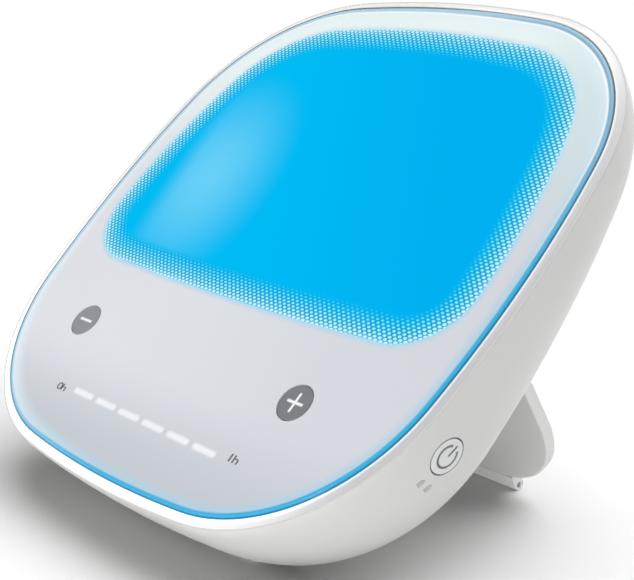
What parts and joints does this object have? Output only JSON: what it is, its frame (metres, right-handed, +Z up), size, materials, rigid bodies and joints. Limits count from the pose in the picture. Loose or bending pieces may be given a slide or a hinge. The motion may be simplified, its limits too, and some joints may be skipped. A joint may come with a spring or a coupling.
{
  "type": "light therapy lamp",
  "caption": "Desk light therapy lamp: thin wedge body with an edge-lit window, push buttons for brightness and power, and a fold-out rear stand.",
  "frame": {"origin": "on the desk, under the middle of the lamp as it stands with its stand open", "axes": "+X along the lamp's width, to the right seen from the front; -Y towards the person in front; +Z up"},
  "size_m": [0.1416, 0.1086, 0.1085],
  "materials": {
    "clear_plate": "clear polished acrylic with a bevelled edge",
    "adhesive": "black foam adhesive tape",
    "printed_film": "pale grey print behind the clear plate",
    "gloss_bezel": "glossy pale grey moulding",
    "opal_sheet": "opal light-spreading plastic",
    "clear_guide": "clear edge-lit acrylic",
    "white_sheet": "white reflecting sheet",
    "inner_plastic": "plain white moulding",
    "circuit_board": "green board",
    "led_package": "small light package",
    "bare_aluminium": "bare extruded bar",
    "screw_steel": "zinc plated",
    "grey_button": "dark grey button cap with a pale sign",
    "black_plastic": "black moulding",
    "satin_white": "satin white moulding with a very fine grain",
    "grey_window": "small grey light window",
    "battery_wrap": "shrink wrapped pack",
    "foot_rubber": "soft pale grey rubber",
    "washer_plastic": "slippery washer"
  },
  "bodies": {
    "root": {"front_plate": "clear_plate", "plate_tape": "adhesive", "printed_film": "printed_film", "bezel": "gloss_bezel", "diffuser": "opal_sheet", "light_guide": "clear_guide", "reflector": "white_sheet", "light_tray": "inner_plastic", "led_strip": "circuit_board", "strip_leds": "led_package", "led_bar": "bare_aluminium", "inner_frame": "inner_plastic", "light_pipes": "opal_sheet", "bezel_screws": "screw_steel", "tray_screws": "screw_steel", "control_board": "circuit_board", "face_switches": "black_plastic", "indicator_leds": "led_package", "driver_parts": "black_plastic", "board_screws": "screw_steel", "power_switch": "black_plastic", "power_board": "circuit_board", "power_board_screws": "screw_steel", "status_lights": "grey_window", "power_socket": "black_plastic", "battery_pack": "battery_wrap", "battery_tape": "adhesive", "rear_housing": "satin_white", "housing_screws": "screw_steel", "foot_pads": "foot_rubber", "hinge_axle": "screw_steel", "hinge_washers": "washer_plastic"},
    "stand": {"stand_flap": "satin_white", "foot_bar": "foot_rubber", "foot_rod": "screw_steel"},
    "minus_button": {"minus_button": "grey_button"},
    "plus_button": {"plus_button": "grey_button"},
    "power_button": {"power_button": "satin_white"}
  },
  "joints": [
    {"name": "stand_hinge", "type": "hinge", "parent": "root", "child": "stand", "pos_m": [0, 0.01218, 0.04973], "axis": [1, 0, 0], "range_deg": [-67.36, 0]},
    {"name": "minus_button_press", "type": "slide", "parent": "root", "child": "minus_button", "axis": [0, 0.6652, -0.7466], "range_m": [0, 0.0005], "stiffness_N_per_m": 900, "springref_m": -0.0004},
    {"name": "plus_button_press", "type": "slide", "parent": "root", "child": "plus_button", "axis": [0, 0.6652, -0.7466], "range_m": [0, 0.0005], "stiffness_N_per_m": 900, "springref_m": -0.0004},
    {"name": "power_button_press", "type": "slide", "parent": "root", "child": "power_button", "axis": [-0.9733, 0.0487, 0.2244], "range_m": [0, 0.0005], "stiffness_N_per_m": 900, "springref_m": -0.0004}
  ]
}
